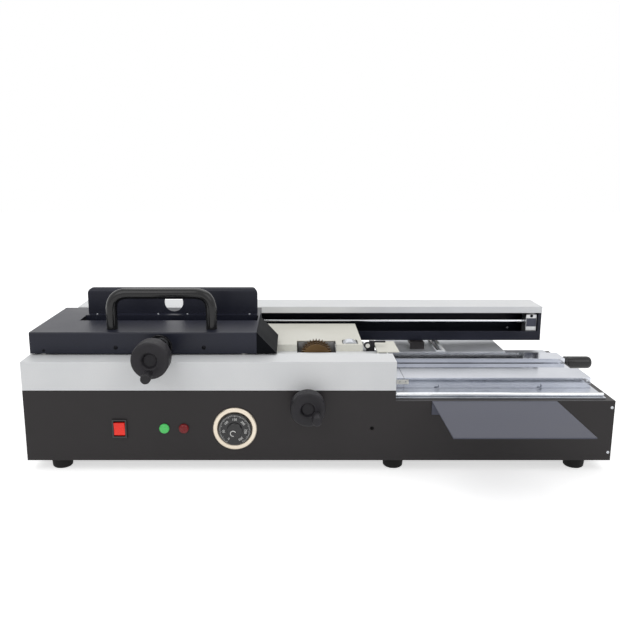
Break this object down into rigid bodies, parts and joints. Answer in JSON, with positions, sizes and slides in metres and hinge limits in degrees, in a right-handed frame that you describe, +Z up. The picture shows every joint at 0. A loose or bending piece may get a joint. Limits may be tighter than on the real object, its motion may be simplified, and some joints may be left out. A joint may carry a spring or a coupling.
{
  "type": "binding machine",
  "caption": "Tabletop glue binding machine with a sliding clamp carriage, milling cutter, glue roller, nipping bars and a rear guide beam.",
  "frame": {"origin": "middle of the footprint's bounding box, on the table the feet stand on", "axes": "+X along the carriage's travel, to the operator's right; +Y from the operator to the guide beam at the back; +Z up"},
  "size_m": [1.0638, 0.578, 0.3095],
  "materials": {
    "black_paint": "satin black stoved paint",
    "white_paint": "satin white stoved paint",
    "carriage_paint": "satin blue-black stoved paint",
    "tray_paint": "matt blue-grey stoved paint",
    "cream_paint": "satin cream stoved paint",
    "stainless": "bright brushed",
    "tool_steel": "bronze-brown ground steel",
    "chrome": "polished",
    "cast_aluminium": "as cast",
    "bakelite": "fine grained, dark grey",
    "nylon": "natural white",
    "gloss_black": "glossy black",
    "red_lens": "translucent red, glossy",
    "green_lens": "translucent green, glossy",
    "rubber": "matt black"
  },
  "bodies": {
    "base": {"chassis": "black_paint", "front_panel": "black_paint", "rear_panel": "black_paint", "foot_1": "rubber", "foot_2": "rubber", "foot_3": "rubber", "foot_4": "rubber", "foot_5": "rubber", "foot_6": "rubber", "front_cover": "white_paint", "rear_cover": "white_paint", "drip_plate": "cream_paint", "deck_plate": "stainless", "cover_stop_rod": "chrome", "front_tray": "tray_paint", "rear_tray": "stainless", "beam_channel": "carriage_paint", "beam_cover": "white_paint", "guide_rod": "chrome", "rod_block_1": "cast_aluminium", "rod_block_2": "cast_aluminium", "beam_bracket_1": "black_paint", "beam_bracket_2": "black_paint", "power_inlet": "gloss_black", "rocker_bezel": "gloss_black", "lamp_green": "green_lens", "lamp_red": "red_lens", "dial_bezel": "chrome", "glue_tank": "cast_aluminium", "glue_motor": "cast_aluminium", "scraper_bracket": "bakelite", "nip_end_block": "chrome", "nip_bar_stop": "nylon"},
    "carriage": {"carriage_box": "carriage_paint", "end_guard": "carriage_paint", "rear_jaw": "carriage_paint", "clamp_bearing": "gloss_black", "carry_handle": "gloss_black", "slide_arm": "cast_aluminium"},
    "support_roller_1": {"support_roller_1": "nylon"},
    "support_roller_2": {"support_roller_2": "nylon"},
    "clamp_wheel": {"clamp_wheel": "bakelite", "clamp_screw": "chrome"},
    "clamp_crank": {"clamp_crank": "bakelite"},
    "front_jaw": {"front_jaw": "stainless"},
    "mill_lift": {"mill_motor": "cast_aluminium"},
    "cutter": {"cutter_arbor": "stainless", "milling_cutter": "tool_steel"},
    "depth_wheel": {"depth_wheel": "bakelite", "depth_cam": "stainless"},
    "depth_crank": {"depth_crank": "bakelite"},
    "glue_roller": {"glue_roller": "stainless"},
    "nip_table": {"nip_table": "stainless", "rear_nip_bar": "chrome"},
    "front_nip_bar": {"front_nip_bar": "chrome"},
    "nip_lever": {"lever_shaft": "stainless", "lever_grip": "rubber"},
    "rocker": {"rocker_button": "red_lens"},
    "dial": {"dial_knob": "gloss_black"},
    "lay_guide": {"lay_guide": "stainless"}
  },
  "joints": [
    {"name": "carriage_slide", "type": "slide", "parent": "base", "child": "carriage", "axis": [1, 0, 0], "range_m": [0, 0.58]},
    {"name": "support_roller_1_spin", "type": "hinge", "parent": "carriage", "child": "support_roller_1", "pos_m": [-0.50695, -0.0762, 0.2045], "axis": [0, 1, 0], "continuous": true},
    {"name": "support_roller_2_spin", "type": "hinge", "parent": "carriage", "child": "support_roller_2", "pos_m": [-0.16195, -0.0762, 0.2045], "axis": [0, 1, 0], "continuous": true},
    {"name": "clamp_turn", "type": "hinge", "parent": "carriage", "child": "clamp_wheel", "pos_m": [-0.30595, -0.12, 0.212], "axis": [0, 1, 0], "range_deg": [0, 2040]},
    {"name": "clamp_close", "type": "slide", "parent": "carriage", "child": "front_jaw", "axis": [0, 1, 0], "range_m": [0, 0.034]},
    {"name": "clamp_crank_spin", "type": "hinge", "parent": "clamp_wheel", "child": "clamp_crank", "pos_m": [-0.30595, -0.195, 0.1935], "axis": [0, 1, 0], "continuous": true},
    {"name": "depth_turn", "type": "hinge", "parent": "base", "child": "depth_wheel", "pos_m": [-0.05195, -0.12, 0.128], "axis": [0, 1, 0], "range_deg": [0, 300]},
    {"name": "mill_lift", "type": "slide", "parent": "base", "child": "mill_lift", "axis": [0, 0, 1], "range_m": [-0.01, 0]},
    {"name": "depth_crank_spin", "type": "hinge", "parent": "depth_wheel", "child": "depth_crank", "pos_m": [-0.03865, -0.19, 0.1224], "axis": [0, 1, 0], "continuous": true},
    {"name": "cutter_spin", "type": "hinge", "parent": "mill_lift", "child": "cutter", "pos_m": [-0.03195, 0.03, 0.165], "axis": [0, 1, 0], "continuous": true},
    {"name": "glue_roller_spin", "type": "hinge", "parent": "base", "child": "glue_roller", "pos_m": [0.03205, 0.042, 0.1715], "axis": [0, 1, 0], "continuous": true},
    {"name": "nip_lift", "type": "slide", "parent": "base", "child": "nip_table", "axis": [0, 0, 1], "range_m": [0, 0.046]},
    {"name": "nip_close", "type": "slide", "parent": "nip_table", "child": "front_nip_bar", "axis": [0, 1, 0], "range_m": [0, 0.0281]},
    {"name": "lever_turn", "type": "hinge", "parent": "base", "child": "nip_lever", "pos_m": [0.45, 0.044, 0.062], "axis": [1, 0, 0], "range_deg": [0, 60.1]},
    {"name": "rocker_tip", "type": "hinge", "parent": "base", "child": "rocker", "pos_m": [-0.37095, -0.124, 0.08], "axis": [1, 0, 0], "range_deg": [-13, 0]},
    {"name": "dial_turn", "type": "hinge", "parent": "base", "child": "dial", "pos_m": [-0.17495, -0.126, 0.08], "axis": [0, 1, 0], "range_deg": [-150, 150]},
    {"name": "lay_guide_slide", "type": "slide", "parent": "base", "child": "lay_guide", "axis": [1, 0, 0], "range_m": [0, 0.1]}
  ],
  "couplings": [
    {"joint": "clamp_close", "follows": "clamp_turn", "m_per_rad": 0.00095493},
    {"joint": "depth_turn", "follows": "mill_lift", "rad_per_m": -523.59},
    {"joint": "nip_close", "follows": "nip_lift", "ratio": 0.60869},
    {"joint": "lever_turn", "follows": "nip_lift", "rad_per_m": 22.765}
  ]
}
